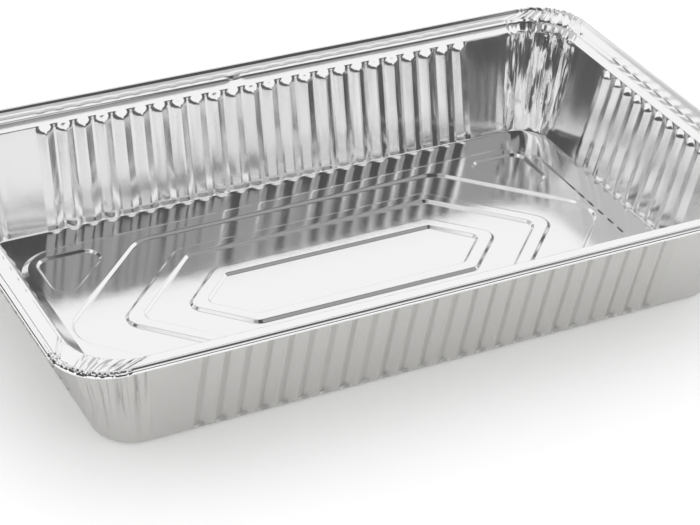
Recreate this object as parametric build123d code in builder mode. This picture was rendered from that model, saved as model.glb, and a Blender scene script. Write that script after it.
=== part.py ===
from build123d import *
import math
import os

# A full-size deep steam-table tray, pressed from one sheet of aluminium foil.
# Every wall, flute, floor emboss and the rolled rim is the same unbroken sheet.
# Frame: origin at the centre of the underside, +X along the length, +Z up, millimetres.

# ---- driving sizes ----
rim_length = 527.0          # over the rolled edge
rim_width = 325.4
tray_height = 85.7          # resting plane to the top of the rolled edge
foil = 0.15                 # sheet gauge

# rolled edge and flange
bead_diameter = 4.8         # outside of the roll
bead_proud = 1.5            # how far the roll stands above the flange
bead_gap_start = 163.0      # the roll is open under the flange, between these two angles
bead_gap_end = 230.0
rim_corner_radius = 36.0    # outside of the rolled edge, in plan
flange_inner = 13.0         # rim edge to where the flange turns down
flange_corner_radius = 40.0

# stacking step under the flange: a short steep face, then a narrow ledge
step_run = 1.0
step_drop = 2.2
ledge_run = 3.0
ledge_drop = 1.0
shoulder_run = 0.6
shoulder_drop = 1.8

# wall
wall_lean = 19.9            # how far the wall leans out between foot and shoulder
foot_corner_radius = 26.0
foot_facet = 1.2            # flat that stands for the pressed foot radius

# flutes: upright grooves pressed outwards, with plain wall between them
flute_pitch_long = 14.3
flute_pitch_short = 13.5
flute_mouth = 8.6
flute_floor = 5.6
flute_depth = 1.8
flute_top = 76.5            # height where a flute has run out into the plain wall
flute_fade = 3.0            # length over which it reaches its full depth
corner_plain = 30.0         # plain wall beside each corner, past the foot radius

# corner pleats: narrow vees that deepen towards the rim
pleat_count = 9
pleat_width = 3.0
pleat_depth = 1.2
pleat_start = 16.0          # height where a pleat begins
pleat_below_rim = 2.0       # plain stretch between a pleat's top and the ledge

# floor
gutter_width = 18.0         # flat ring that the tray stands on
panel_rise = 3.0            # raised panel above the gutter
panel_corner_radius = 31.0  # at the foot of its slope
emboss_depth = 1.8
emboss_slope = 45.0         # slope of every embossed edge, from level
border_width = 12.0         # raised border beside the sunk hexagon
hexagon_overshoot = 6.0     # its sharp tip lies past the border before it is rounded
hexagon_corner_radius = 25.0
ridge_width = 12.0          # foot to foot of a ridge
ridge_shares = ((0.765, 0.80, 13.0), (0.405, 0.575, 10.0))  # of the hexagon: width, length; radius
triangle_border = 7.8       # panel edge to the sunk corner triangle
triangle_strip = 11.7       # raised strip between a triangle and the hexagon
triangle_corner_radius = 9.0

# ---- worked out from the above ----
half_length = rim_length / 2
half_width = rim_width / 2
bead_radius = bead_diameter / 2
bead_height = tray_height - bead_radius
flange_height = tray_height - bead_proud
miter = math.tan(math.radians(emboss_slope / 2))
slope_run = panel_rise / math.tan(math.radians(emboss_slope))

# inner face of the sheet from the foot to the flange: (distance in from the rim edge, height)
step_foot = (flange_inner + step_run, flange_height - step_drop)
ledge_end = (step_foot[0] + ledge_run, step_foot[1] - ledge_drop)
wall_top = (ledge_end[0] + shoulder_run, ledge_end[1] - shoulder_drop)
wall_foot = (wall_top[0] + wall_lean, foil + foot_facet)
floor_edge = (wall_foot[0] + foot_facet, foil)
inner_face = [floor_edge, wall_foot, wall_top, ledge_end, step_foot, (flange_inner, flange_height)]

# plan radius of the corner at each of those points
top_corner_radius = flange_corner_radius - (wall_top[0] - flange_inner)
corner_radii = [
    foot_corner_radius - foot_facet,
    foot_corner_radius,
    top_corner_radius,
    flange_corner_radius - (ledge_end[0] - flange_inner),
    flange_corner_radius - step_run,
    flange_corner_radius,
]
wall_slope = math.hypot(wall_foot[0] - wall_top[0], wall_top[1] - wall_foot[1])
lean_out = (wall_foot[0] - wall_top[0]) / wall_slope     # part of the wall's direction
lean_up = (wall_top[1] - wall_foot[1]) / wall_slope


def shifted(points, gap):
    """Move an open profile outwards and down by a gap, keeping every face parallel."""
    ends = [(points[0][0] + 1.0, points[0][1])] + points + [(points[-1][0] - 1.0, points[-1][1])]
    moved = []
    for before, here, after in zip(ends, ends[1:], ends[2:]):
        normals = []
        for a, b in ((before, here), (here, after)):
            run, rise = a[0] - b[0], b[1] - a[1]
            length = math.hypot(run, rise)
            normals.append((rise / length, run / length))
        (ax, az), (bx, bz) = normals
        share = gap / (1 + ax * bx + az * bz)
        moved.append((here[0] - (ax + bx) * share, here[1] - (az + bz) * share))
    return moved


def wall_plane(turn, reach):
    """Plane at the foot of a wall: X along it, Y outwards through the foil, Z up the slope."""
    out = Vector(math.sin(turn), math.cos(turn), 0)
    along = Vector(math.cos(turn), -math.sin(turn), 0)
    up = out * lean_out + Vector(0, 0, lean_up)
    foot = out * reach + Vector(0, 0, wall_foot[1])
    return Plane(origin=foot, x_dir=along, z_dir=up)


def flute_bars(grow, turn, reach, straight, pitch):
    """The grooves of one wall, as bars that reach from inside the tray to their floors."""
    flank = math.atan2(flute_depth, (flute_mouth - flute_floor) / 2)
    spread = grow * math.tan(flank / 2)
    mouth = flute_mouth / 2 + spread
    floor = flute_floor / 2 + spread
    deep = flute_depth + grow
    count = int((2 * (straight - corner_plain) + pitch - flute_mouth) / pitch)
    plane = wall_plane(turn, reach)
    fade = math.atan2(flute_depth, flute_fade)
    top = (flute_top - wall_foot[1]) / lean_up + grow * math.tan((math.pi / 2 - fade) / 2)
    cut_origin = plane.from_local_coords(Vector(0, grow, top))
    cut_normal = plane.y_dir * math.cos(fade) + plane.z_dir * math.sin(fade)
    with BuildPart() as bars:
        with BuildSketch(plane.offset(-2 * panel_rise)):
            with GridLocations(pitch, 0, count, 1):
                Polygon((-mouth, -2.0), (mouth, -2.0), (mouth, grow), (floor, deep),
                        (-floor, deep), (-mouth, grow), align=None)
        extrude(amount=wall_slope + 2 * panel_rise)
        split(bisect_by=Plane(origin=cut_origin, x_dir=plane.x_dir, z_dir=cut_normal), keep=Keep.BOTTOM)
    return bars.part


def pleat_bars(grow):
    """The vee pleats of all four corners, lying against the leaning corner cones."""
    flank = math.atan2(pleat_depth, pleat_width / 2)
    spread = grow * math.tan(flank / 2)
    foot_centre = (half_length - wall_foot[0] - foot_corner_radius,
                   half_width - wall_foot[0] - foot_corner_radius)
    top_centre = (half_length - wall_top[0] - top_corner_radius,
                  half_width - wall_top[0] - top_corner_radius)
    with BuildPart() as bars:
        for side_x in (1, -1):
            for side_y in (1, -1):
                for index in range(pleat_count):
                    angle = math.radians(90 * (index + 0.5) / pleat_count)
                    out = Vector(side_x * math.cos(angle), side_y * math.sin(angle), 0)
                    foot = Vector(side_x * foot_centre[0], side_y * foot_centre[1], wall_foot[1])
                    foot += out * foot_corner_radius
                    top = Vector(side_x * top_centre[0], side_y * top_centre[1], wall_top[1])
                    top += out * top_corner_radius
                    slope = top - foot
                    low = foot + slope * ((pleat_start - foot.Z) / slope.Z) - out * pleat_depth
                    high = foot + slope * ((wall_top[1] - pleat_below_rim - foot.Z) / slope.Z)
                    run = (high - low).normalized()
                    across = Vector(0, 0, 1).cross(out)
                    plane = Plane(origin=low, x_dir=across, z_dir=run)
                    if plane.y_dir.dot(out) < 0:
                        plane = Plane(origin=low, x_dir=-across, z_dir=run)
                    half = pleat_width / 2 + spread
                    with BuildSketch(plane):
                        Polygon((-half, -1.5), (half, -1.5), (half, grow), (spread / 2, pleat_depth + grow),
                                (-spread / 2, pleat_depth + grow), (-half, grow), align=None)
                    extrude(amount=(high - low).length + grow)
    return bars.part


def hexagon(half_wide, half_long, grow):
    """Closed outline of a long hexagon with 45 degree ends, grown outwards evenly."""
    wide = half_wide + grow
    long = half_long + grow * math.sqrt(2)
    side = long - wide
    return [(long, 0), (side, wide), (-side, wide), (-long, 0), (-side, -wide), (side, -wide)]


def emboss(points, radius, level, height, spread, mode):
    """Press a rounded outline up or down from a level; its edge slopes at emboss_slope."""
    with BuildSketch(Plane.XY.offset(level)) as outline:
        Polygon(*points, align=None)
        fillet(outline.vertices(), radius=radius)
    extrude(outline.sketch, amount=height, taper=spread, mode=mode)


def skin(grow):
    """Solid bounded by one face of the sheet: the hollow (0) or the outside (foil)."""
    base = foil - grow
    profile = shifted(inner_face, grow) if grow else inner_face
    panel_edge = floor_edge[0] + gutter_width
    panel_half = (half_length - panel_edge - slope_run, half_width - panel_edge - slope_run)
    panel_top = base + panel_rise
    hexagon_wide = panel_half[1] - border_width
    hexagon_long = panel_half[0] + hexagon_overshoot
    soft = grow * miter
    with BuildPart() as body:
        for (inset, height), (plain_inset, _), radius in zip(profile, inner_face, corner_radii):
            with BuildSketch(Plane.XY.offset(height)):
                RectangleRounded(rim_length - 2 * inset, rim_width - 2 * inset,
                                 radius + plain_inset - inset)
        loft(ruled=True)
        # flutes and pleats, cut off level with the floor
        bars = [pleat_bars(grow)]
        for turn, reach, other, pitch in (
                (0, half_width, half_length, flute_pitch_long),
                (90, half_length, half_width, flute_pitch_short)):
            straight = other - wall_foot[0] - foot_corner_radius
            for side in (0, 180):
                bars.append(flute_bars(grow, math.radians(turn + side), reach - wall_foot[0],
                                       straight, pitch))
        add(bars)
        with Locations((0, 0, base)):
            Box(rim_length, rim_width, tray_height, mode=Mode.INTERSECT,
                align=(Align.CENTER, Align.CENTER, Align.MIN))
        # raised panel
        with BuildSketch(Plane.XY.offset(base)):
            RectangleRounded(2 * (half_length - panel_edge - soft), 2 * (half_width - panel_edge - soft),
                             panel_corner_radius - soft)
        extrude(amount=panel_rise, taper=90 - emboss_slope, mode=Mode.SUBTRACT)
        # sunk hexagon, with raised hexagonal ridges standing in it
        emboss(hexagon(hexagon_wide, hexagon_long, soft), hexagon_corner_radius + soft,
               panel_top, -emboss_depth, 90 - emboss_slope, Mode.ADD)
        for wide_share, long_share, radius in ridge_shares:
            wide = hexagon_wide * wide_share
            long = hexagon_long * long_share
            emboss(hexagon(wide, long, -soft), radius, panel_top - emboss_depth,
                   emboss_depth, 90 - emboss_slope, Mode.SUBTRACT)
            emboss(hexagon(wide, long, soft - ridge_width), radius - ridge_width / 2,
                   panel_top - emboss_depth, emboss_depth, emboss_slope - 90, Mode.ADD)
        # sunk triangles in the four corners of the border
        corner_x = panel_half[0] - triangle_border + soft
        corner_y = panel_half[1] - triangle_border + soft
        cut = hexagon_long + triangle_strip * math.sqrt(2) - soft * math.sqrt(2)
        for side_x in (1, -1):
            for side_y in (1, -1):
                points = [(side_x * corner_x, side_y * corner_y),
                          (side_x * corner_x, side_y * (cut - corner_x)),
                          (side_x * (cut - corner_y), side_y * corner_y)]
                emboss(points, triangle_corner_radius + soft, panel_top, -emboss_depth,
                       90 - emboss_slope, Mode.ADD)
    return body.part


hollow = skin(0)
outside = skin(foil)

with BuildPart() as foil_tray:
    add(outside)
    # flange: the sheet turned out level, as far as the rolled edge
    roll_reach = math.sqrt((bead_radius - foil) ** 2 - (flange_height - foil - bead_height) ** 2)
    flange_edge = bead_radius + roll_reach
    with BuildSketch(Plane.XY.offset(flange_height - foil)):
        RectangleRounded(rim_length - 2 * flange_edge, rim_width - 2 * flange_edge,
                         rim_corner_radius - flange_edge)
    extrude(amount=foil)
    add(hollow, mode=Mode.SUBTRACT)
    # rolled edge, carried round the rim
    with BuildSketch(Plane.XY.offset(bead_height), mode=Mode.PRIVATE) as rim_line:
        RectangleRounded(rim_length - bead_diameter, rim_width - bead_diameter,
                         rim_corner_radius - bead_radius)
    with BuildSketch(Plane(origin=(0, half_width - bead_radius, bead_height), x_dir=(0, 1, 0),
                           z_dir=(1, 0, 0))):
        Circle(bead_radius)
        Circle(bead_radius - foil, mode=Mode.SUBTRACT)
        reach = 2 * bead_diameter
        Polygon((0, 0), *[(reach * math.cos(math.radians(a)), reach * math.sin(math.radians(a)))
                          for a in (bead_gap_start, (bead_gap_start + bead_gap_end) / 2, bead_gap_end)],
                align=None, mode=Mode.SUBTRACT)
    sweep(path=rim_line.sketch.face().outer_wire())
foil_tray.part.label = "foil_tray"

os.makedirs("parts", exist_ok=True)
export_step(foil_tray.part, "parts/foil_tray.step")
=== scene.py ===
"""Looks of a deep foil tray, pressed from one sheet of bright aluminium foil.

The sheet is modelled as it is made. A closed loop of columns round the tray is carried,
row by row, from the open end of the rolled rim over the flange, down the fluted walls and
in across the gutter; the floor panel is pressed into steps and filled in between.
Sizes are in millimetres and angles in degrees, unless a docstring says otherwise.
"""
import logging
import math
import random
from dataclasses import dataclass, field, replace
from enum import Enum

import bmesh
import bpy
from mathutils import Matrix, Vector, noise


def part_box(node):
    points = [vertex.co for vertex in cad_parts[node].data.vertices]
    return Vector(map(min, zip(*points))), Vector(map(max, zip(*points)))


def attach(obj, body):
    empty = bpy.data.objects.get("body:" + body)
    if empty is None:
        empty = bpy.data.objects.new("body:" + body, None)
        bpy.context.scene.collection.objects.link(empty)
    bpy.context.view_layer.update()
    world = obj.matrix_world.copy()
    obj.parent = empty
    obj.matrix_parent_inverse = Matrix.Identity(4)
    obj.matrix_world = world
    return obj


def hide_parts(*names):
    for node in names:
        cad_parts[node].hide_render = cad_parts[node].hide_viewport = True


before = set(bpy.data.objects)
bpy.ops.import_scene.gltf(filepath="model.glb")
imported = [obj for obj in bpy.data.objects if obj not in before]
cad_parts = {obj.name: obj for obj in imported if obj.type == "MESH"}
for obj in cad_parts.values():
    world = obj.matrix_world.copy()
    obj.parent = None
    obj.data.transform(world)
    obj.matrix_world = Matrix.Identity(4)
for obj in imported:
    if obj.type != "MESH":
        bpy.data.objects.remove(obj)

log = logging.getLogger("foil_tray")
MM = 0.001
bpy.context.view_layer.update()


class Side(Enum):
    """The four walls, in the order in which their columns follow each other."""

    RIGHT = 0
    BACK = 1
    LEFT = 2
    FRONT = 3

    @property
    def is_long(self) -> bool:
        """True for the two long walls."""
        return self in (Side.BACK, Side.FRONT)


@dataclass(frozen=True)
class Bend:
    """One corner of the sheet's section, before it is rounded.

    Attributes:
        inset: distance in from the rim edge.
        height: height above the plane it is measured from.
        radius: radius of the bend.
        segments: straight pieces in the bend.
    """

    inset: float
    height: float
    radius: float = 0.0
    segments: int = 3

    @property
    def point(self) -> Vector:
        """The corner as (inset, height)."""
        return Vector((self.inset, self.height))

    def raised(self, rise: float) -> "Bend":
        """The same bend, moved up."""
        return replace(self, height=rise + self.height)


@dataclass
class Row:
    """One closed loop of the sheet.

    Attributes:
        inset: distance in from the rim edge.
        height: height above the resting plane.
        flute: share of the ribs' depth taken here.
        sink: how far the ribs' pattern sinks this row.
        creases: depths of the large, middle and fine corner folds.
        push: the way the folds move the sheet, as (outwards, upwards).
    """

    inset: float
    height: float
    flute: float = 0.0
    sink: float = 0.0
    creases: tuple = (0.0, 0.0, 0.0)
    push: tuple = (0.0, 1.0)


@dataclass
class Column:
    """One station round the tray, on a straight wall or in the corner after it.

    Attributes:
        side: the wall it stands on, or the wall before its corner.
        turned: share of the corner turned, or None on a wall.
        along: place along the wall, or None where the station slides.
        slide: place between the last rib and the corner, with its sign.
        across: distance from the middle of the nearest rib, with its sign.
        lift: depth of that rib here, as a share of the plain depth.
    """

    side: Side
    turned: float | None = None
    along: float | None = None
    slide: float = 0.0
    across: float = 9.0
    lift: float = 1.0


def smooth(value: float) -> float:
    """Smooth step of a value held between 0 and 1."""
    value = max(0.0, min(value, 1.0))
    return value * value * (3 - 2 * value)


def between(value: float, table: tuple) -> float:
    """Read a value from a table of (place, value) pairs, straight between them.

    Args:
        value: where to read.
        table: the pairs, in rising order of place.

    Returns:
        The value read, held at the table's ends.
    """
    if value <= table[0][0]:
        return table[0][1]
    for (low, first), (high, last) in zip(table, table[1:]):
        if value <= high:
            return first + (last - first) * (value - low) / (high - low)
    return table[-1][1]


def rounded_section(bends: list[Bend]) -> list[tuple]:
    """Round the corners of an open section.

    Args:
        bends: the section's corners; the first and last stay as they are.

    Returns:
        Its points, as (inset, height).
    """
    points = []
    for index, bend in enumerate(bends):
        here = bend.point
        if not bend.radius:
            points.append(tuple(here))
            continue
        before = (bends[index - 1].point - here).normalized()
        after = (bends[index + 1].point - here).normalized()
        half = before.angle(after) / 2
        centre = here + (before + after).normalized() * (bend.radius / math.sin(half))
        start = here + before * (bend.radius / math.tan(half)) - centre
        end = here + after * (bend.radius / math.tan(half)) - centre
        turn = start.angle(end)
        for step in range(bend.segments + 1):
            share = step / bend.segments
            spoke = start * math.sin(turn * (1 - share)) + end * math.sin(turn * share)
            points.append(tuple(centre + spoke / math.sin(turn)))
    return points


@dataclass(frozen=True)
class Flutes:
    """Upright ribs of the walls, which stand inwards.

    Attributes:
        depth: how far a rib stands out of the wall.
        shape: its section, as (distance from its middle, share of the depth).
        columns: distances from its middle at which the sheet has columns.
        pitch_long: spacing on the long walls.
        pitch_short: spacing on the short walls.
        count_long: ribs on a long wall.
        count_short: ribs on a short wall.
        slides: shares of the way from the last rib to the corner that have columns.
        top: height at which the ribs start to run out.
        foot: height at which they end.
        foot_fade: height over which they grow from the foot.
        droop: how far a rib sinks, as a share of its depth.
        step_dent: depth of the dents beside the short walls' ribs in the step.
        stray: how far a rib may stray along the wall.
        lift: least and greatest depth, as a share of the plain depth.
        tilt: greatest change of that share at tilt_reach from the middle.
        tilt_reach: where the tilt is measured.
    """

    depth: float = 2.5
    shape: tuple = ((0.7, 1.0), (6.2, 0.0))
    columns: tuple = (-6.2, -4.6, -2.6, -0.7, 0.7, 2.6, 4.6, 6.2)
    pitch_long: float = 14.3
    pitch_short: float = 13.5
    count_long: int = 24
    count_short: int = 10
    slides: tuple = (0.2, 0.4, 0.6, 0.8)
    top: float = 71.2
    foot: float = 1.9
    foot_fade: float = 1.6
    droop: float = 0.25
    step_dent: float = 1.5
    stray: float = 0.25
    lift: tuple = (0.82, 1.1)
    tilt: float = 0.12
    tilt_reach: float = 3.0

    def pitch(self, side: Side) -> float:
        """Spacing of the ribs on a wall."""
        return self.pitch_long if side.is_long else self.pitch_short

    def count(self, side: Side) -> int:
        """Number of ribs on a wall."""
        return self.count_long if side.is_long else self.count_short

    def on(self, side: Side, draw: random.Random) -> list[Column]:
        """Stations of one straight wall.

        Args:
            side: the wall.
            draw: draws each rib's place, depth and tilt.

        Returns:
            The stations, in order.
        """
        pitch, count = self.pitch(side), self.count(side)
        found = [Column(side, slide=-place) for place in reversed(self.slides)]
        for rib in range(count):
            middle = (rib - (count - 1) / 2) * pitch + draw.uniform(-self.stray, self.stray)
            lift, tilt = draw.uniform(*self.lift), draw.uniform(-self.tilt, self.tilt)
            found.append(Column(side, along=(rib - count / 2) * pitch))
            found += [Column(side, along=middle + place, across=place,
                             lift=lift * (1 + tilt * place / self.tilt_reach))
                      for place in self.columns]
        found.append(Column(side, along=count / 2 * pitch))
        return found + [Column(side, slide=place) for place in self.slides]

    def height(self, row: Row, column: Column) -> float:
        """How far a rib stands inwards where a row crosses a column."""
        spread = math.hypot(column.across, max(0.0, row.height - self.top))
        return (self.depth * row.flute * column.lift * between(spread, self.shape)
                * smooth((row.height - self.foot) / self.foot_fade))


@dataclass(frozen=True)
class Section:
    """The sheet's section, from the open end of the roll to the gutter.

    Attributes:
        bead: diameter of the roll.
        bead_proud: height of the roll above the flange.
        roll_start: angle at which the roll's open end lies.
        roll_end: angle at which the roll meets the flange.
        roll_rows: loops in the roll.
        roll_creases: depths of the corner folds on the roll.
        roll_push: the way those folds move the sheet.
        flange_bends: flange, step and ledge, measured from the flange's height.
        flange_creases: depths of the corner folds there.
        flange_push: share by which the folds of the step move the sheet outwards.
        flange_sink: how far the ribs' pattern sinks the flange.
        sink_from: inset from which it does.
        step_from: inset from which the sheet turns down from the flange.
        step_width: width over which it does.
        step_to: inset at which the step ends.
        wall_top: bend between the strip under the ledge and the wall.
        wall_foot: point that the wall runs towards.
        wall_heights: heights of the wall's loops.
        wall_creases: (depth, level where they start, rate at which they grow) of the
            large, middle and fine corner folds on the wall.
        gutter_bends: foot of the wall and gutter, measured from the sheet's gauge.
    """

    bead: float = 4.8
    bead_proud: float = 1.5
    roll_start: float = 230.0
    roll_end: float = 512.0
    roll_rows: int = 10
    roll_creases: tuple = (0.3, 0.45, 0.45)
    roll_push: tuple = (0.6, 0.8)
    flange_bends: tuple = (Bend(5.3, 0.0), Bend(9.0, -0.35), Bend(13.0, -0.7, 0.45, 2),
                           Bend(14.0, -2.4, 0.5, 2), Bend(15.8, -2.8, 0.6, 2))
    flange_creases: tuple = (0.4, 0.75, 0.6)
    flange_push: float = 0.7
    flange_sink: float = 0.12
    sink_from: float = 8.0
    step_from: float = 12.5
    step_width: float = 1.0
    step_to: float = 15.5
    wall_top: Bend = Bend(19.2, 77.0, 1.0, 2)
    wall_foot: Bend = Bend(37.5, 1.35)
    wall_heights: tuple = (75.6, 74.8, 74.0, 73.0, 71.8, 70.2, 64.0, 56.0, 48.0, 40.0, 32.0,
                           24.0, 16.0, 10.0, 6.0, 3.2)
    wall_creases: tuple = ((2.0, 0.0, 3.0), (1.5, 0.1, 1.5), (0.5, 0.3, 1.6))
    gutter_bends: tuple = (Bend(37.5, 1.8, 0.8, 3), Bend(42.0, 1.35))

    def rows(self, height: float, gauge: float) -> list[Row]:
        """Loops of the sheet, in order.

        Args:
            height: height of the tray.
            gauge: thickness of the sheet.

        Returns:
            The loops, from the open end of the roll to the gutter.
        """
        rows = self.roll(height) + self.flange(height - self.bead_proud) + self.wall()
        last = Bend(rows[-1].inset, rows[-1].height)
        gutter = [bend.raised(gauge) for bend in self.gutter_bends]
        return rows + [Row(*point) for point in rounded_section([last, *gutter])[1:]]

    def roll(self, height: float) -> list[Row]:
        """Loops of the roll, whose top is at the height given."""
        radius = self.bead / 2
        middle = height - radius
        rows = []
        for step in range(self.roll_rows):
            angle = math.radians(self.roll_start + (self.roll_end - self.roll_start) * step
                                 / (self.roll_rows - 1))
            rows.append(Row(radius * (1 - math.cos(angle)), middle + radius * math.sin(angle),
                            creases=self.roll_creases, push=self.roll_push))
        return rows

    def flange(self, height: float) -> list[Row]:
        """Loops of the flange at the height given, the step and the ledge."""
        bends = [bend.raised(height) for bend in self.flange_bends]
        rows = []
        for inset, level in rounded_section([*bends, self.wall_top, self.wall_foot])[:-1]:
            drop = smooth((inset - self.step_from) / self.step_width)
            out = self.flange_push * drop
            rows.append(Row(inset, level, flute=drop * (inset < self.step_to),
                            sink=self.flange_sink * (1 - drop) * (inset > self.sink_from),
                            creases=self.flange_creases, push=(out, 1 - out)))
        return rows

    def wall(self) -> list[Row]:
        """Loops of the wall."""
        top, foot = self.wall_top.point, self.wall_foot.point
        lean = (foot - top).normalized()
        rows = []
        for height in self.wall_heights:
            inset = top.x + (foot.x - top.x) * (top.y - height) / (top.y - foot.y)
            level = height / top.y
            rows.append(Row(inset, height, flute=1.0,
                            creases=tuple(depth * smooth((level - start) * rate)
                                          for depth, start, rate in self.wall_creases),
                            push=(-lean.y, -lean.x)))
        return rows


class Creases:
    """Corner folds: flat facets between crease lines that wander as they run down."""

    def __init__(self, seed: int, count: int, levels: int, wander: float = 0.3) -> None:
        """Draw the crease lines.

        Args:
            seed: seed of the draw.
            count: facets across the corner.
            levels: how often the facets change between the rim and the foot.
            wander: how far a crease may stray, as a share of a facet.
        """
        draw = random.Random(seed)
        least = 0.15
        self.count = count
        self.levels = levels
        self.knots = [[knot + draw.uniform(-wander, wander) for knot in range(count + 1)]
                      for _ in range(levels + 1)]
        self.height = [[(1 if knot % 2 else -1) * draw.uniform(least, 1.0)
                        for knot in range(count + 1)] for _ in range(levels + 1)]

    def value(self, share: float, level: float) -> float:
        """Height of the folded sheet.

        Args:
            share: place across the corner, 0 to 1.
            level: place between the rim and the foot, 0 to 1.

        Returns:
            A height between -1 and 1.
        """
        step = max(0.0, min(level, 0.9999)) * self.levels
        lower, blend = int(step), step - int(step)
        knots, heights = ([low + (high - low) * blend
                           for low, high in zip(table[lower], table[lower + 1])]
                          for table in (self.knots, self.height))
        place = max(knots[0], min(share * self.count, knots[-1] - 1e-6))
        knot = max(index for index, edge in enumerate(knots[:-1]) if edge <= place)
        part = (place - knots[knot]) / (knots[knot + 1] - knots[knot])
        return heights[knot] * (1 - part) + heights[knot + 1] * part


@dataclass(frozen=True)
class Corners:
    """Round corners of the walls and their folds.

    Attributes:
        radii: plan radius of the corners, as (inset, radius).
        columns: straight pieces in each corner.
        spill: how far the folds run on along the walls, as a share of the corner.
        fade: share of the corner over which the folds grow.
        sizes: (seed, facets, levels, wander) of the large, middle and fine folds.
    """

    radii: tuple = ((0.0, 36.0), (5.3, 30.7), (13.0, 40.0), (17.6, 35.4), (37.5, 26.0), (42.0, 21.5))
    columns: int = 80
    spill: float = 0.08
    fade: float = 0.06
    sizes: tuple = ((31, 9, 5, 0.4), (51, 19, 11, 0.42), (71, 38, 22, 0.3))

    def after(self, side: Side) -> list[Column]:
        """Stations of the corner after a wall."""
        return [Column(side, turned=(1 + 2 * self.spill) * step / self.columns - self.spill)
                for step in range(self.columns + 1)]

    def folds(self) -> list[tuple]:
        """The folds of each corner, in the order of the walls."""
        return [tuple(Creases(seed + side.value, count, levels, wander)
                      for seed, count, levels, wander in self.sizes) for side in Side]


@dataclass(frozen=True)
class Dent:
    """A small dent in the ledge of the back wall.

    Attributes:
        depth: how far it goes in.
        along: its place along the wall.
        width: its half width along the wall.
        inset: its place across the ledge.
        reach: its half width across the ledge.
    """

    depth: float = 1.3
    along: float = 18.0
    width: float = 4.0
    inset: float = 15.0
    reach: float = 4.0

    def at(self, row: Row, place: float) -> float:
        """Depth of the dent where a row crosses a place along the wall."""
        return (self.depth * math.exp(-((place - self.along) / self.width) ** 2)
                * smooth(1 - abs(row.inset - self.inset) / self.reach))


@dataclass(frozen=True)
class Waves:
    """Slow waves of the thin sheet.

    Attributes:
        wall: depth of the waves in the walls.
        wall_scale: how fast they change along and up a wall, and from wall to wall.
        rim: depth of the waves of the rim.
        rim_from: height from which the rim waves.
        rim_scale: how fast they change in plan.
        rim_slice: place of the rim's waves in the noise.
    """

    wall: float = 0.12
    wall_scale: tuple = (0.05, 0.04, 9.0)
    rim: float = 0.25
    rim_from: float = 60.0
    rim_scale: float = 0.012
    rim_slice: float = 3.0

    def in_wall(self, row: Row, side: Side, place: float) -> float:
        """Height of the wave where a row crosses a place along a wall."""
        along, up, around = self.wall_scale
        return self.wall * noise.noise(Vector((place * along, row.height * up, side.value * around)))

    def in_rim(self, row: Row, point: Vector) -> float:
        """Height of the wave at a point of a row."""
        if row.height <= self.rim_from:
            return 0.0
        return self.rim * noise.noise(Vector((point.x * self.rim_scale, point.y * self.rim_scale,
                                              self.rim_slice)))


@dataclass(frozen=True)
class Outline:
    """A convex outline with round corners, pressed into the floor.

    Attributes:
        corners: its sharp corners, anticlockwise.
        radius: plan radius of the corners.
        segments: straight pieces in each corner.
    """

    corners: tuple
    radius: float
    segments: int = 8

    def grown(self, reach: float) -> list[Vector]:
        """Points of the outline, moved outwards evenly.

        Args:
            reach: distance outwards, or inwards if below zero.

        Returns:
            The same number of points for every reach.
        """
        found = []
        for index, corner in enumerate(self.corners):
            here = Vector(corner)
            before = here - Vector(self.corners[index - 1])
            after = Vector(self.corners[(index + 1) % len(self.corners)]) - here
            first = math.atan2(before.y, before.x) - math.pi / 2
            turn = (math.atan2(after.y, after.x) - math.pi / 2 - first) % (2 * math.pi)
            middle = first + turn / 2
            depth = self.radius / math.cos(turn / 2)
            centre = here - Vector((math.cos(middle), math.sin(middle))) * depth
            for step in range(self.segments + 1):
                angle = first + turn * step / self.segments
                spoke = Vector((math.cos(angle), math.sin(angle)))
                found.append(centre + spoke * (self.radius + reach))
        return found


def hexagon(wide: float, long: float, radius: float) -> Outline:
    """Outline with 45 degree ends.

    Args:
        wide: half its width.
        long: half its length, to the sharp tips.
        radius: corner radius.

    Returns:
        The outline.
    """
    side = long - wide
    return Outline(((side, -wide), (long, 0), (side, wide), (-side, wide), (-long, 0),
                    (-side, -wide)), radius)


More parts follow.
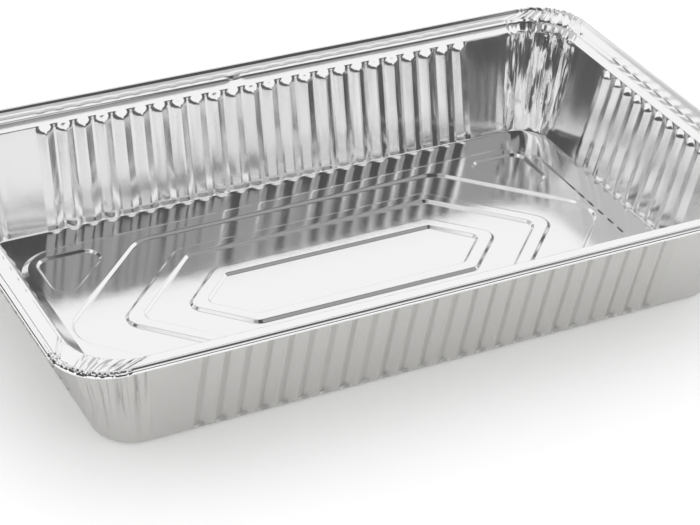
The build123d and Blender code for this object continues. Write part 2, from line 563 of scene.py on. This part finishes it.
class Loops:
    """The sheet's mesh: closed loops, each carried on to the next, and level fillings."""

    def __init__(self) -> None:
        """Start an empty mesh."""
        self.bm = bmesh.new()

    def ring(self, points: list[Vector]) -> list:
        """Start a closed loop.

        Args:
            points: where its vertices go.

        Returns:
            The loop's vertices, in order.
        """
        loop = bmesh.ops.create_circle(self.bm, cap_ends=False, radius=1.0, segments=len(points))["verts"]
        self.settle(loop, points)
        return loop

    def settle(self, loop: list, points: list[Vector]) -> None:
        """Move a loop's vertices to their points."""
        for vertex, point in zip(loop, points):
            vertex.co = point

    def carry(self, loop: list, points: list[Vector]) -> list:
        """Extrude a closed loop and move the new loop into place.

        Args:
            loop: the loop's vertices, in order.
            points: where the new loop's vertices go.

        Returns:
            The new loop's vertices, in the same order.
        """
        made = bmesh.ops.extrude_edge_only(self.bm, edges=self.edges(loop))["geom"]
        fresh = {item for item in made if isinstance(item, bmesh.types.BMVert)}
        follow = [next(edge.other_vert(vertex) for edge in vertex.link_edges
                       if edge.other_vert(vertex) in fresh) for vertex in loop]
        self.settle(follow, points)
        return follow

    def edges(self, loop: list) -> list:
        """The edges of a closed loop."""
        return [next(edge for edge in vertex.link_edges if edge.other_vert(vertex) is after)
                for vertex, after in zip(loop, loop[1:] + loop[:1])]

    def fill(self, *loops: list) -> None:
        """Fill the region between loops."""
        edges = [edge for loop in loops for edge in self.edges(loop)]
        bmesh.ops.triangle_fill(self.bm, use_beauty=True, use_dissolve=False, edges=edges,
                                normal=(0.0, 0.0, 1.0))

    def close(self, name: str, merge: float, upright: float, level: float) -> bpy.types.Mesh:
        """Turn the faces upwards, mark the sharp edges and make the mesh.

        Args:
            name: name of the mesh.
            merge: distance in metres within which vertices are merged.
            upright: least angle of a sharp edge that runs down the sheet.
            level: least angle of any other sharp edge.

        Returns:
            The mesh.
        """
        bmesh.ops.remove_doubles(self.bm, verts=self.bm.verts, dist=merge)
        bmesh.ops.recalc_face_normals(self.bm, faces=self.bm.faces)
        if sum(face.normal.z * face.calc_area() for face in self.bm.faces) < 0:
            bmesh.ops.reverse_faces(self.bm, faces=self.bm.faces)
        for face in self.bm.faces:
            face.smooth = True
        for edge in self.bm.edges:
            first, second = (vertex.co for vertex in edge.verts)
            falls = abs(first.z - second.z) > 0.5 * (first - second).length
            least = math.radians(upright if falls else level)
            if len(edge.link_faces) == 2 and edge.calc_face_angle(0.0) > least:
                edge.smooth = False
        mesh = bpy.data.meshes.new(name)
        self.bm.to_mesh(mesh)
        self.bm.free()
        return mesh


@dataclass(frozen=True)
class Floor:
    """Gutter, raised panel, sunk hexagon, ridges and corner triangles.

    Attributes:
        gutter_from: inset of the gutter from the rim edge.
        gutter: width of the gutter.
        panel_rise: height of the panel above the gutter.
        panel_slope: width of the slope at the panel's edge.
        panel_radius: corner radius of the panel.
        emboss: depth of the hexagon and the triangles, and height of the ridges.
        press_radius: radius of the bends of every step.
        press_level: width of the level strip on each side of a step.
        hexagon_margin: distance from the panel's long edge to the hexagon.
        hexagon_reach: how far the hexagon's sharp tips pass the panel's short edge.
        hexagon_radius: its corner radius.
        triangle_margin: distance from the panel's edge to a triangle.
        triangle_gap: distance from the hexagon to a triangle.
        triangle_radius: corner radius of the triangles.
        ridges: (share of the hexagon's width, share of its length, corner radius).
        ridge_width: width of a ridge.
        ridge_inner: how much smaller a ridge's corner radius is on its inner side.
    """

    gutter_from: float = 38.7
    gutter: float = 18.0
    panel_rise: float = 3.0
    panel_slope: float = 4.6
    panel_radius: float = 31.0
    emboss: float = 1.8
    press_radius: float = 0.7
    press_level: float = 1.2
    hexagon_margin: float = 12.0
    hexagon_reach: float = 6.0
    hexagon_radius: float = 25.0
    triangle_margin: float = 9.5
    triangle_gap: float = 11.7
    triangle_radius: float = 11.0
    ridges: tuple = ((0.765, 0.80, 13.0), (0.405, 0.575, 10.0))
    ridge_width: float = 12.0
    ridge_inner: float = 6.0

    def build(self, loops: Loops, gutter_loop: list, half: tuple, low: float) -> None:
        """Press the floor.

        Args:
            loops: the mesh to press it in.
            gutter_loop: the loop that the walls end in.
            half: half the tray's length and width.
            low: height of the gutter's inner edge.
        """
        top = low + self.panel_rise
        sunk = top - self.emboss
        half_x, half_y = (size - self.gutter_from - self.gutter for size in half)
        panel = Outline(((half_x, -half_y), (half_x, half_y), (-half_x, half_y), (-half_x, -half_y)),
                        self.panel_radius)
        outer, inner = self.step(loops, panel, low, top, 1, self.panel_slope)
        loops.fill(gutter_loop, outer)
        top_x, top_y = half_x - self.panel_rise, half_y - self.panel_rise
        wide, long = top_y - self.hexagon_margin, top_x + self.hexagon_reach
        outline = hexagon(wide, long, self.hexagon_radius)
        rim, hexagon_base = self.step(loops, outline, top, sunk, 1, self.emboss)
        holes = [rim]
        for outline in self.triangles(top_x, top_y, long):
            rim, base = self.step(loops, outline, top, sunk, 1, self.emboss)
            holes.append(rim)
            loops.fill(base)
        loops.fill(inner, *holes)
        self.press_ridges(loops, hexagon_base, (wide, long), sunk, top)

    def triangles(self, top_x: float, top_y: float, long: float) -> list[Outline]:
        """Outlines of the four corner triangles.

        Args:
            top_x: half the panel's length.
            top_y: half its width.
            long: half the hexagon's length, to the sharp tips.

        Returns:
            The outlines.
        """
        x, y = top_x - self.triangle_margin, top_y - self.triangle_margin
        cut = long + self.triangle_gap * math.sqrt(2)
        found = []
        for right, back in ((1, 1), (-1, 1), (-1, -1), (1, -1)):
            corners = [(right * x, back * y), (right * (cut - y), back * y),
                       (right * x, back * (cut - x))]
            if right * back < 0:
                corners.reverse()
            found.append(Outline(tuple(corners), self.triangle_radius))
        return found

    def press_ridges(self, loops: Loops, around: list, size: tuple, sunk: float, top: float) -> None:
        """Press the ridges and fill the level regions round and inside them.

        Args:
            loops: the mesh to press them in.
            around: the loop round the sunk hexagon.
            size: half the hexagon's width and length.
            sunk: height of the hexagon.
            top: height of the ridges.
        """
        for wide_share, long_share, radius in self.ridges:
            wide, long = size[0] * wide_share, size[1] * long_share
            foot, crest = self.step(loops, hexagon(wide, long, radius), sunk, top, 1, self.emboss)
            within = hexagon(wide - self.ridge_width, long - self.ridge_width * math.sqrt(2),
                             radius - self.ridge_inner)
            far_foot, far_crest = self.step(loops, within, sunk, top, -1, self.emboss)
            loops.fill(around, foot)
            loops.fill(crest, far_crest)
            around = far_foot
        loops.fill(around)

    def step(self, loops: Loops, outline: Outline, low: float, high: float, inwards: int,
             run: float) -> tuple[list, list]:
        """Press one sloping step along an outline.

        Args:
            loops: the mesh to press it in.
            outline: the step's edge at its outer level.
            low: the level on the outline.
            high: the level at the slope's other edge.
            inwards: 1 if the step runs inwards of the outline, -1 if outwards.
            run: width of the slope in plan.

        Returns:
            The first loop and the last loop.
        """
        section = rounded_section([
            Bend(-self.press_level, low), Bend(0.0, low, self.press_radius),
            Bend(run, high, self.press_radius), Bend(run + self.press_level, high)])
        made = []
        for reach, height in section:
            points = [Vector((spot.x, spot.y, height)) * MM for spot in outline.grown(-reach * inwards)]
            made.append(loops.carry(made[-1], points) if made else loops.ring(points))
        return made[0], made[-1]


@dataclass
class Sheet:
    """The whole tray, folded from one sheet.

    Attributes:
        gauge: thickness of the sheet.
        merge: distance in metres within which vertices are merged.
        upright_edge: least angle of a sharp edge that runs down the sheet.
        level_edge: least angle of any other sharp edge.
        section: from the roll to the gutter.
        flutes: ribs of the walls.
        corners: round corners and their folds.
        dent: dent in the ledge.
        waves: slow waves.
        floor: pressed floor.
        half: half the tray's length and width, from the frame.
        height: its height, from the frame.
        folds: corner folds, in the order of the walls.
    """

    gauge: float = 0.15
    merge: float = 0.00001
    upright_edge: float = 14.0
    level_edge: float = 32.0
    section: Section = Section()
    flutes: Flutes = Flutes()
    corners: Corners = Corners()
    dent: Dent = Dent()
    waves: Waves = Waves()
    floor: Floor = Floor()
    half: tuple = field(init=False)
    height: float = field(init=False)
    folds: list = field(init=False)

    def __post_init__(self) -> None:
        """Read the overall size from the frame and draw the folds."""
        low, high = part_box("foil_tray")
        self.half = ((high[0] - low[0]) / 2 / MM, (high[1] - low[1]) / 2 / MM)
        self.height = (high[2] - low[2]) / MM
        self.folds = self.corners.folds()

    def columns(self) -> list[Column]:
        """Stations round the tray, anticlockwise from the front end of the right wall."""
        draw = random.Random(7)
        return [column for side in Side
                for column in self.flutes.on(side, draw) + self.corners.after(side)]

    def place(self, row: Row, column: Column) -> Vector:
        """Where a row crosses a column.

        Args:
            row: the loop.
            column: the station round the tray.

        Returns:
            The point, in metres.
        """
        radius = between(row.inset, self.corners.radii)
        ends = [half - row.inset - radius for half in self.half]
        find = self.on_wall if column.turned is None else self.on_corner
        point, rise = find(row, column, radius, ends)
        rise += self.waves.in_rim(row, point)
        return Vector((point.x, point.y, max(rise, self.gauge))) * MM

    def on_wall(self, row: Row, column: Column, radius: float, ends: list) -> tuple[Vector, float]:
        """Where a row crosses a column of a straight wall.

        Args:
            row: the loop.
            column: the station.
            radius: the row's corner radius.
            ends: distance from the middle to the corner centres along each axis.

        Returns:
            The place in plan and the height.
        """
        side, flutes = column.side, self.flutes
        angle = side.value * math.pi / 2
        out = Vector((math.cos(angle), math.sin(angle)))
        along = Vector((-math.sin(angle), math.cos(angle)))
        reach = self.half[1 if side.is_long else 0] - row.inset
        place = column.along
        if place is None:
            end = ends[0 if side.is_long else 1] - self.corners.spill * radius * math.pi / 2
            last = flutes.count(side) * flutes.pitch(side) / 2
            place = math.copysign(last + (end - last) * abs(column.slide), column.slide)
        pattern = between(abs(column.across), flutes.shape)
        depth = 0.0
        if row.height < self.section.wall_top.height:
            depth = -flutes.height(row, column)
        elif not side.is_long:
            depth = flutes.step_dent * row.flute * pattern
        wave = self.waves.in_wall(row, side, place)
        dent = self.dent.at(row, place) if side is Side.BACK else 0.0
        point = out * (reach + depth + wave - dent) + along * place
        return point, row.height - (row.sink * pattern + flutes.droop * depth)

    def on_corner(self, row: Row, column: Column, radius: float, ends: list) -> tuple[Vector, float]:
        """Where a row crosses a column of a corner.

        Args:
            row: the loop.
            column: the station.
            radius: the row's corner radius.
            ends: distance from the middle to the corner centres along each axis.

        Returns:
            The place in plan and the height.
        """
        corners, angle = self.corners, column.side.value * math.pi / 2
        turned = max(0.0, min(column.turned, 1.0))
        spin = angle + turned * math.pi / 2
        out = Vector((math.cos(spin), math.sin(spin)))
        quarter = angle + math.pi / 4
        centre = Vector((math.copysign(ends[0], math.cos(quarter)),
                         math.copysign(ends[1], math.sin(quarter))))
        level = 1 - row.height / self.height
        share = (column.turned + corners.spill) / (1 + 2 * corners.spill)
        inside = smooth(min(share, 1 - share) / corners.fade)
        fold = inside * sum(depth * creases.value(share, level) for depth, creases
                            in zip(row.creases, self.folds[column.side.value]))
        point = centre + out * (radius + fold * row.push[0])
        point += Vector((-out.y, out.x)) * (column.turned - turned) * radius * math.pi / 2
        return point, row.height + fold * row.push[1]

    def walls(self, loops: Loops) -> list:
        """Make rim, flange and walls; returns the loop that lies in the gutter."""
        columns = self.columns()
        loop = None
        for row in self.section.rows(self.height, self.gauge):
            points = [self.place(row, column) for column in columns]
            loop = loops.carry(loop, points) if loop else loops.ring(points)
        return loop

    def build(self) -> bpy.types.Object:
        """Make the sheet and give it its gauge and finishes."""
        loops = Loops()
        self.floor.build(loops, self.walls(loops), self.half, self.gauge)
        mesh = loops.close("foil_tray_sheet", self.merge, self.upright_edge, self.level_edge)
        piece = bpy.data.objects.new("foil_tray_sheet", mesh)
        bpy.context.scene.collection.objects.link(piece)
        thick = piece.modifiers.new("gauge", "SOLIDIFY")
        thick.thickness = self.gauge * MM
        thick.offset = -1.0
        thick.material_offset = 1
        thick.material_offset_rim = 1
        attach(piece, "root")
        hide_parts("foil_tray")
        self.dress(mesh)
        return piece

    def dress(self, mesh: bpy.types.Mesh) -> None:
        """Give the sheet its bright inner side and its satin outer side, whose darker colour is partly the
        foil's dull side and partly painted shade.
        """
        mesh.materials.append(FoilFinish("foil_bright").build())
        # Outer side darker than the bright side: partly the foil's dull side, partly painted shade that
        # stands in for darker surroundings.
        mesh.materials.append(FoilFinish("foil_satin_painted_shade", colour=(0.64, 0.635, 0.62, 1), roughness=0.4,
                                         grain=0.00001, wave=0.00005).build())


class Maths:
    """A socket in a shader sum; its operators add Math nodes."""

    def __init__(self, finish: "Finish", socket: bpy.types.NodeSocket) -> None:
        """Keep the socket and the finish it belongs to."""
        self.finish, self.socket = finish, socket

    def _join(self, operation: str, first: object, second: object) -> "Maths":
        """Add one Math node."""
        return Maths(self.finish, self.finish.node("ShaderNodeMath", {"operation": operation},
                                                   {0: first, 1: second}).outputs[0])

    def __add__(self, other: object) -> "Maths":
        """Sum."""
        return self._join("ADD", self, other)

    def __mul__(self, other: object) -> "Maths":
        """Product."""
        return self._join("MULTIPLY", self, other)

    def most(self, other: object) -> "Maths":
        """The larger of the two."""
        return self._join("MAXIMUM", self, other)

    __radd__ = __add__
    __rmul__ = __mul__


@dataclass(frozen=True)
class Finish:
    """A finish made of shader nodes."""

    name: str

    def tree(self) -> bpy.types.NodeTree:
        """The material's node tree."""
        return bpy.data.materials[self.name].node_tree

    def node(self, kind: str, settings: dict | None = None, sockets: dict | None = None) -> bpy.types.Node:
        """Add one node.

        Args:
            kind: the node's type.
            settings: its settings, set first.
            sockets: values or links of its sockets, by name or number.

        Returns:
            The node.
        """
        node = self.tree().nodes.new(kind)
        for name, value in (settings or {}).items():
            setattr(node, name, value)
        for name, value in (sockets or {}).items():
            value = value.socket if isinstance(value, Maths) else value
            if isinstance(value, bpy.types.NodeSocket):
                self.tree().links.new(value, node.inputs[name])
            else:
                node.inputs[name].default_value = value
        return node

    def noise(self, vector: bpy.types.NodeSocket, scale: float, detail: float, rough: float) -> Maths:
        """Add a noise pattern.

        Args:
            vector: where it is read.
            scale: how fine it is.
            detail: how many finer layers it has.
            rough: how strong they are.

        Returns:
            The pattern, between 0 and 1.
        """
        return Maths(self, self.node("ShaderNodeTexNoise", None, {
            "Vector": vector, "Scale": scale, "Detail": detail, "Roughness": rough}).outputs[0])

    def start(self) -> bpy.types.Material:
        """Make the empty material."""
        made = bpy.data.materials.new(self.name)
        made.use_nodes = True
        made.node_tree.nodes.clear()
        return made

    def close(self, shader: bpy.types.Node) -> None:
        """Link a shader to the material's output."""
        self.node("ShaderNodeOutputMaterial", None, {"Surface": shader.outputs[0]})


@dataclass(frozen=True)
class FoilFinish(Finish):
    """Rolled aluminium foil; depths in metres, scales per metre.

    Attributes:
        colour: colour of the metal; on the satin outer side its darker colour is partly painted shade.
        roughness: how much it scatters.
        grain: depth of the rolling lines.
        wave: depth of the slow waves.
        grain_scale: how fine the rolling lines are.
        wave_scale: how fine the waves are.
        streak_scale: how fine the streaks of other roughness are.
        streak: how much the roughness changes over them.
        stretch: how much the lines are drawn out in height.
    """

    colour: tuple = (0.9, 0.9, 0.9, 1)
    roughness: float = 0.11
    grain: float = 0.000012
    wave: float = 0.00006
    grain_scale: float = 1400.0
    wave_scale: float = 45.0
    streak_scale: float = 260.0
    streak: float = 0.08
    stretch: float = 0.02

    def build(self) -> bpy.types.Material:
        """Make the material."""
        made = self.start()
        place = self.node("ShaderNodeTexCoord").outputs["Object"]
        lines = self.node("ShaderNodeMapping", None, {
            "Vector": place, "Scale": (1.0, 1.0, self.stretch)}).outputs[0]
        height = (self.noise(lines, self.grain_scale, 2.0, 0.6) * self.grain
                  + self.noise(place, self.wave_scale, 1.0, 0.5) * self.wave)
        bump = self.node("ShaderNodeBump", None, {"Strength": 1.0, "Distance": 1.0, "Height": height})
        streak = self.noise(lines, self.streak_scale, 3.0, 0.6)
        self.close(self.node("ShaderNodeBsdfPrincipled", None, {
            "Base Color": self.colour, "Metallic": 1.0,
            "Roughness": streak * self.streak + (self.roughness - self.streak / 2),
            "Normal": bump.outputs[0]}))
        return made


@dataclass(frozen=True)
class PaperFinish(Finish):
    """White paper under the tray, which keeps only its shadow.

    Attributes:
        plain: brightness with which it lights the tray.
        glow: light of its own that the camera and the metal see, so that it is white.
    """

    plain: float = 0.8
    glow: float = 0.12

    def build(self) -> bpy.types.Material:
        """Make the material."""
        made = self.start()
        path = self.node("ShaderNodeLightPath")
        camera, glossy, through = (Maths(self, path.outputs[f"Is {ray} Ray"])
                                   for ray in ("Camera", "Glossy", "Transmission"))
        seen = camera.most(glossy).most(through)
        plain = self.node("ShaderNodeBsdfDiffuse", None, {"Color": (self.plain, self.plain, self.plain, 1)})
        white = self.node("ShaderNodeBsdfDiffuse", None, {"Color": (1, 1, 1, 1)})
        glow = self.node("ShaderNodeEmission", None, {"Color": (1, 1, 1, 1), "Strength": self.glow})
        both = self.node("ShaderNodeAddShader", None, {0: white.outputs[0], 1: glow.outputs[0]})
        self.close(self.node("ShaderNodeMixShader", None, {
            0: seen, 1: plain.outputs[0], 2: both.outputs[0]}))
        return made


@dataclass(frozen=True)
class CardFinish(Finish):
    """Matt card that the metal mirrors.

    Attributes:
        shade: how bright the metal sees it.
    """

    shade: float = 0.05

    def build(self) -> bpy.types.Material:
        """Make the material."""
        made = self.start()
        self.close(self.node("ShaderNodeEmission", None, {
            "Color": (self.shade, self.shade, self.shade, 1), "Strength": 1.0}))
        return made


@dataclass(frozen=True)
class Card:
    """One flat card round the scene.

    Attributes:
        name: its name.
        size: width and height in metres.
        way: turn from the front, elevation, and distance in metres.
        finish: its material.
        seen: True if the camera sees it.
    """

    name: str
    size: tuple
    way: tuple
    finish: Finish
    seen: bool = False

    def build(self) -> None:
        """Put the card up."""
        around, elevation, distance = self.way
        turn = (Matrix.Rotation(math.radians(around), 4, "Z")
                @ Matrix.Rotation(math.radians(90 - elevation), 4, "X"))
        bm = bmesh.new()
        bmesh.ops.create_grid(bm, x_segments=1, y_segments=1, size=0.5)
        bmesh.ops.scale(bm, vec=(self.size[0], self.size[1], 1.0), verts=bm.verts)
        bmesh.ops.translate(bm, vec=(0, 0, distance), verts=bm.verts)
        bmesh.ops.transform(bm, matrix=turn, verts=bm.verts)
        stand_up(self.name, bm, self.finish, self.seen)


def stand_up(name: str, bm: bmesh.types.BMesh, finish: Finish, seen: bool = False) -> None:
    """Add a piece of the studio.

    Args:
        name: its name.
        bm: its shape, which is freed.
        finish: its material.
        seen: True if the camera sees it; otherwise only the metal does.
    """
    mesh = bpy.data.meshes.new(name)
    bm.to_mesh(mesh)
    bm.free()
    mesh.materials.append(finish.build())
    piece = bpy.data.objects.new(name, mesh)
    bpy.context.scene.collection.objects.link(piece)
    if not seen:
        piece.visible_camera = piece.visible_diffuse = piece.visible_shadow = False


@dataclass(frozen=True)
class Studio:
    """Camera, paper, cards and the white room.

    Attributes:
        lens: focal length, on a sensor of the width given.
        sensor: width of the sensor.
        pitch: how far the camera looks down.
        yaw: how far it turns to the right.
        roll: how far it tips.
        stand: place of the camera from the point it aims at, along its own axes.
        aim_height: height of that point.
        far: how far the camera sees, in metres.
        paper_size: side of the paper in metres.
        paper_gap: how far the paper lies under the tray, in metres.
        cards: (name, size, way, shade) of each card, as in Card and CardFinish.
        skirting_radius: radius of the low ring, in metres.
        skirting_height: its height, in metres.
        skirting_shade: its shade.
    """

    lens: float = 114.3
    sensor: float = 36.0
    pitch: float = 32.42
    yaw: float = 28.67
    roll: float = -2.85
    stand: tuple = (2.5, 3.3, 1531.7)
    aim_height: float = 3.15
    far: float = 50.0
    paper_size: float = 12.0
    paper_gap: float = 0.0004
    cards: tuple = (
        ("left_room_card", (3.8, 3.8), (-72, 20, 3.0), 0.1),
        ("camera_room_card", (2.3, 1.4), (-21, 10, 3.0), 0.12),
        ("right_low_card", (4.2, 1.1), (27, 5, 3.0), 0.1),
        ("back_left_low_card", (2.6, 0.9), (224, 4, 3.0), 0.05),
        ("front_ceiling_card", (7.0, 2.3), (15, 68, 3.2), 0.36),
        ("overhead_card", (4.2, 1.2), (60, 75, 2.8), 0.08),
        ("back_ceiling_card", (6.0, 2.5), (180, 64, 3.2), 0.6))
    skirting_radius: float = 0.62
    skirting_height: float = 0.12
    skirting_shade: float = 0.05

    def camera(self) -> None:
        """Set up the camera."""
        data = bpy.data.cameras.new("camera")
        data.lens, data.sensor_width = self.lens, self.sensor
        data.clip_end = self.far
        camera = bpy.data.objects.new("camera", data)
        turn = (Matrix.Rotation(math.radians(-self.yaw), 4, "Z")
                @ Matrix.Rotation(math.radians(90 - self.pitch), 4, "X")
                @ Matrix.Rotation(math.radians(-self.roll), 4, "Z"))
        place = turn @ Vector(self.stand) * MM + Vector((0, 0, self.aim_height)) * MM
        camera.matrix_world = Matrix.Translation(place) @ turn
        bpy.context.scene.collection.objects.link(camera)
        bpy.context.scene.camera = camera

    def skirting(self) -> None:
        """A low dark ring, far out on the paper, that draws the rim's edges."""
        bm = bmesh.new()
        bmesh.ops.create_cone(bm, cap_ends=False, segments=48, radius1=self.skirting_radius,
                              radius2=self.skirting_radius, depth=self.skirting_height)
        bmesh.ops.translate(bm, vec=(0, 0, self.skirting_height / 2), verts=bm.verts)
        stand_up("skirting_card", bm, CardFinish("skirting_card", self.skirting_shade))

    def light(self) -> None:
        """Lay the paper, put up the cards and light the room."""
        Card("paper", (self.paper_size, self.paper_size), (0, 90, -self.paper_gap),
             PaperFinish("white_paper"), True).build()
        for name, size, way, shade in self.cards:
            Card(name, size, way, CardFinish(name, shade)).build()
        self.skirting()
        world = bpy.data.worlds.new("room")
        world.use_nodes = True
        background = world.node_tree.nodes["Background"]
        background.inputs["Color"].default_value = (1, 1, 1, 1)
        background.inputs["Strength"].default_value = 1.0
        bpy.context.scene.world = world
        bpy.context.scene.view_settings.view_transform = "Standard"


def main() -> None:
    """Build the tray and its studio."""
    logging.basicConfig(level=logging.INFO)
    studio = Studio()
    studio.camera()
    tray = Sheet().build()
    log.info("%s: %d faces", tray.name, len(tray.data.polygons))
    studio.light()


if __name__ == "__main__":
    main()
